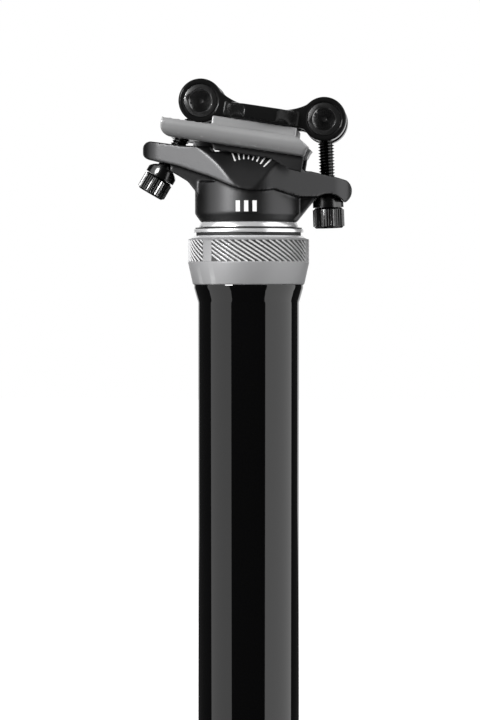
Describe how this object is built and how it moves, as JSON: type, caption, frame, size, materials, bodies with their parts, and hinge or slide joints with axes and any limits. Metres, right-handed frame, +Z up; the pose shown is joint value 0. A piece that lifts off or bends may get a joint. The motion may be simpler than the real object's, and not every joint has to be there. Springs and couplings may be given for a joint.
{
  "type": "telescopic seatpost",
  "caption": "Height-adjustable bicycle seatpost: outer tube with seal collar, sliding inner tube, cable lever in the base and a two-bolt head that clamps the saddle rails.",
  "frame": {"origin": "on the post's axis at the top of the straight shank that the seat tube holds", "axes": "+Z up along the post, +X towards the front of the bicycle, +Y to the left side"},
  "size_m": [0.0672, 0.052, 0.3058],
  "materials": {
    "gloss_black_tube": "gloss black anodised",
    "grey_collar": "grey anodised, machined ribs",
    "black_rubber": "matt",
    "polished_ring": "polished",
    "black_housing": "satin black anodised",
    "plain_steel": "turned",
    "plain_alloy": "turned",
    "dark_anodised": "hard anodised",
    "bushing_polymer": "matt",
    "key_brass": "turned",
    "blasted_black": "blasted, black anodised",
    "ground_steel": "ground",
    "grey_cradle": "grey anodised",
    "gloss_black_clamp": "gloss black anodised",
    "black_steel": "black oxide"
  },
  "bodies": {
    "lower_post": {"outer_tube": "gloss_black_tube", "upper_bushing": "bushing_polymer", "seal_collar": "grey_collar", "collar_o_ring": "black_rubber", "wiper_seal": "black_rubber", "wiper_ring": "polished_ring", "rest_pad": "black_rubber", "base_housing": "black_housing", "base_o_ring": "black_rubber", "housing_stop": "plain_steel", "lever_pin": "plain_steel", "cartridge_foot": "plain_alloy", "cartridge_nut": "plain_steel", "cartridge_tube": "plain_alloy", "cartridge_gland": "plain_alloy", "gland_seal": "black_rubber"},
    "upper_post": {"inner_tube": "dark_anodised", "lower_bushing": "bushing_polymer", "key_pins": "key_brass", "top_out_bumper": "black_rubber", "head_ring": "polished_ring", "head": "blasted_black", "cartridge_rod": "ground_steel", "rod_piston": "plain_alloy", "piston_seal": "black_rubber", "rod_nut": "plain_steel"},
    "rail_cradle": {"lower_cradle": "grey_cradle", "upper_clamp_left": "gloss_black_clamp", "upper_clamp_right": "gloss_black_clamp"},
    "rear_barrel": {"rear_barrel_nut": "black_steel"},
    "front_barrel": {"front_barrel_nut": "black_steel"},
    "rear_swivel": {"rear_washer": "black_steel"},
    "front_swivel": {"front_washer": "black_steel"},
    "rear_screw": {"rear_bolt": "black_steel"},
    "front_screw": {"front_bolt": "black_steel"},
    "gas_piston": {"floating_piston": "plain_alloy", "floater_seal": "black_rubber"},
    "cable_lever": {"release_lever": "plain_alloy", "cable_anchor": "plain_steel", "anchor_screw": "black_steel"},
    "valve": {"valve_pin": "ground_steel"}
  },
  "joints": [
    {"name": "post_slide", "type": "slide", "parent": "lower_post", "child": "upper_post", "axis": [0, 0, 1], "range_m": [0, 0.125]},
    {"name": "clamp_tilt", "type": "hinge", "parent": "upper_post", "child": "rail_cradle", "pos_m": [-0.0004, 0, 0.0367], "axis": [0, 1, 0], "range_deg": [-8, 8]},
    {"name": "rear_washer_swivel", "type": "hinge", "parent": "upper_post", "child": "rear_swivel", "pos_m": [-0.02898, 0, 0.03782], "axis": [0, 1, 0], "range_deg": [-4.6, 4.6]},
    {"name": "front_washer_swivel", "type": "hinge", "parent": "upper_post", "child": "front_swivel", "pos_m": [0.02505, 0, 0.02809], "axis": [0, 1, 0], "range_deg": [-5.4, 5.4]},
    {"name": "rear_bolt_spin", "type": "hinge", "parent": "rear_swivel", "child": "rear_screw", "pos_m": [-0.02898, 0, 0.03782], "axis": [0.506, 0, 0.8625], "continuous": true},
    {"name": "front_bolt_spin", "type": "hinge", "parent": "front_swivel", "child": "front_screw", "pos_m": [0.02505, 0, 0.02809], "axis": [-0.0349, 0, 0.9994], "continuous": true},
    {"name": "rear_barrel_pivot", "type": "hinge", "parent": "rail_cradle", "child": "rear_barrel", "pos_m": [-0.01423, 0, 0.06296], "axis": [0, 1, 0], "range_deg": [-4, 4]},
    {"name": "front_barrel_pivot", "type": "hinge", "parent": "rail_cradle", "child": "front_barrel", "pos_m": [0.02404, 0, 0.05718], "axis": [0, 1, 0], "range_deg": [-3.2, 3.2]},
    {"name": "gas_piston_slide", "type": "slide", "parent": "lower_post", "child": "gas_piston", "axis": [0, 0, 1], "range_m": [0, 0.022]},
    {"name": "valve_slide", "type": "slide", "parent": "lower_post", "child": "valve", "axis": [0, 0, 1], "range_m": [0, 0.0017], "stiffness_N_per_m": 2000, "springref_m": -0.001},
    {"name": "lever_hinge", "type": "hinge", "parent": "lower_post", "child": "cable_lever", "pos_m": [0.004, 0, -0.215], "axis": [0, 1, 0], "range_deg": [0, 25]}
  ],
  "couplings": [
    {"joint": "rear_washer_swivel", "follows": "clamp_tilt", "ratio": 0.537},
    {"joint": "front_washer_swivel", "follows": "clamp_tilt", "ratio": 0.674},
    {"joint": "rear_barrel_pivot", "follows": "clamp_tilt", "ratio": -0.463},
    {"joint": "front_barrel_pivot", "follows": "clamp_tilt", "ratio": -0.326},
    {"joint": "gas_piston_slide", "follows": "post_slide", "ratio": 0.1736},
    {"joint": "lever_hinge", "follows": "valve_slide", "rad_per_m": 250}
  ]
}
